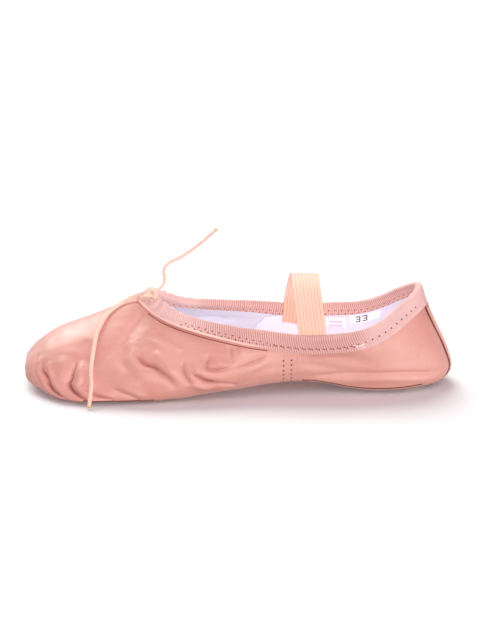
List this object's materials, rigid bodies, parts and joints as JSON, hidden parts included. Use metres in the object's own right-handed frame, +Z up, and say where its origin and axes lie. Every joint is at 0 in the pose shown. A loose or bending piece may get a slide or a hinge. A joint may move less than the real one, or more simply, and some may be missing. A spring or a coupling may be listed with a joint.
{
  "type": "ballet slipper",
  "caption": "Child's flat leather ballet slipper with a split suede sole, a bound topline with a drawstring, and an elastic instep strap.",
  "frame": {"origin": "middle of the bounding box of the slipper, on the floor under the soles", "axes": "-X towards the toe, +X towards the heel, -Y towards the side on which the drawstring hangs down, +Z up"},
  "size_m": [0.2105, 0.082, 0.078],
  "materials": {
    "upper_leather": "soft matt full-grain leather with a faint sheen",
    "lining_cotton": "white cotton drill",
    "seam_tape": "thin woven tape",
    "sole_suede": "napped suede",
    "filler_felt": "felt",
    "sock_cotton": "brushed cotton",
    "binding_grosgrain": "ribbed grosgrain tape",
    "drawstring_cord": "thin knitted elastic cord",
    "strap_elastic": "ribbed woven elastic",
    "label_satin": "white satin"
  },
  "bodies": {
    "forefoot": {"vamp": "upper_leather", "vamp_lining": "lining_cotton", "forefoot_outsole": "sole_suede", "forefoot_pad": "filler_felt", "sock_lining": "sock_cotton", "topline_binding": "binding_grosgrain", "drawstring": "drawstring_cord", "drawstring_knot": "drawstring_cord", "drawstring_tail_up": "drawstring_cord", "drawstring_tail_down": "drawstring_cord"},
    "heel": {"quarter_near": "upper_leather", "quarter_far": "upper_leather", "quarter_lining_near": "lining_cotton", "quarter_lining_far": "lining_cotton", "back_strip": "upper_leather", "side_seam_tape_near": "seam_tape", "side_seam_tape_far": "seam_tape", "heel_outsole": "sole_suede", "heel_pad": "filler_felt", "strap_end_near": "strap_elastic", "strap_end_far": "strap_elastic", "size_label": "label_satin", "second_label": "label_satin"},
    "strap": {"instep_strap": "strap_elastic"}
  },
  "joints": [
    {"name": "arch_flex", "type": "hinge", "parent": "forefoot", "child": "heel", "pos_m": [0.0288, 0, 0.0058], "axis": [0, 1, 0], "range_deg": [0, 20], "stiffness_Nm_per_rad": 0.05, "deforming": ["sock_lining", "topline_binding", "drawstring", "side_seam_tape_near", "side_seam_tape_far"]},
    {"name": "strap_swing", "type": "hinge", "parent": "heel", "child": "strap", "pos_m": [0.03275, -0.00038, 0.0321], "axis": [-0.1434, 0.9897, 0], "range_deg": [-60, 60], "stiffness_Nm_per_rad": 0.002, "deforming": ["strap_end_near", "strap_end_far"]}
  ]
}
